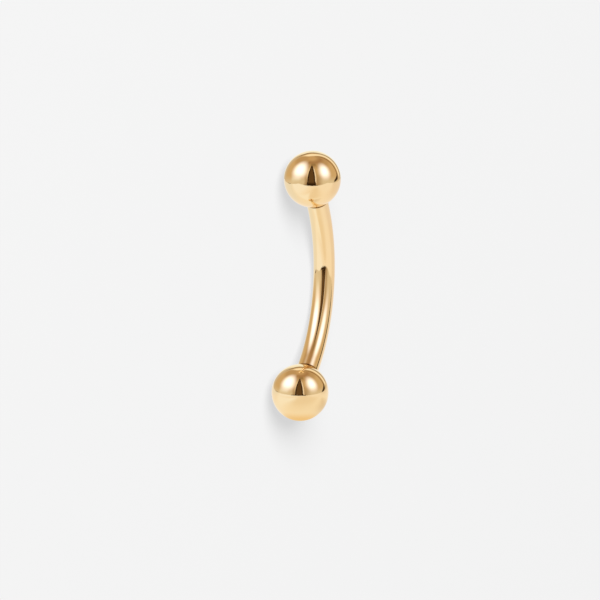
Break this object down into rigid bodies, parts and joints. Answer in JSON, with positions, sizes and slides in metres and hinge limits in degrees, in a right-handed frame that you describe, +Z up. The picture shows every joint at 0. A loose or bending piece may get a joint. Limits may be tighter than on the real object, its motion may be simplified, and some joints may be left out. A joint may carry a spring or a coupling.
{
  "type": "curved eyebrow barbell",
  "caption": "Curved barbell for an eyebrow piercing: a bent polished gold bar with a screw-on ball at each end, lying on its side.",
  "frame": {"origin": "bottom centre of the box around the barbell as it lies", "axes": "+Z up from the surface it lies on; +X along the line from the upper ball's centre to the lower ball's; the bend bows towards +Y, the back, and down"},
  "size_m": [0.015, 0.0048, 0.0032],
  "materials": {
    "polished_gold": "mirror-polished yellow gold"
  },
  "bodies": {
    "bar": {"curved_bar": "polished_gold"},
    "upper_end": {"upper_ball": "polished_gold"},
    "lower_end": {"lower_ball": "polished_gold"}
  },
  "joints": [
    {"name": "upper_ball_turn", "type": "hinge", "parent": "bar", "child": "upper_end", "pos_m": [-0.00594, -0.00085, 0.00159], "axis": [-0.779, -0.5901, 0.2118], "range_deg": [0, 2520]},
    {"name": "lower_ball_turn", "type": "hinge", "parent": "bar", "child": "lower_end", "pos_m": [0.00594, -0.00085, 0.00159], "axis": [0.779, -0.5901, 0.2118], "range_deg": [0, 2520]}
  ]
}
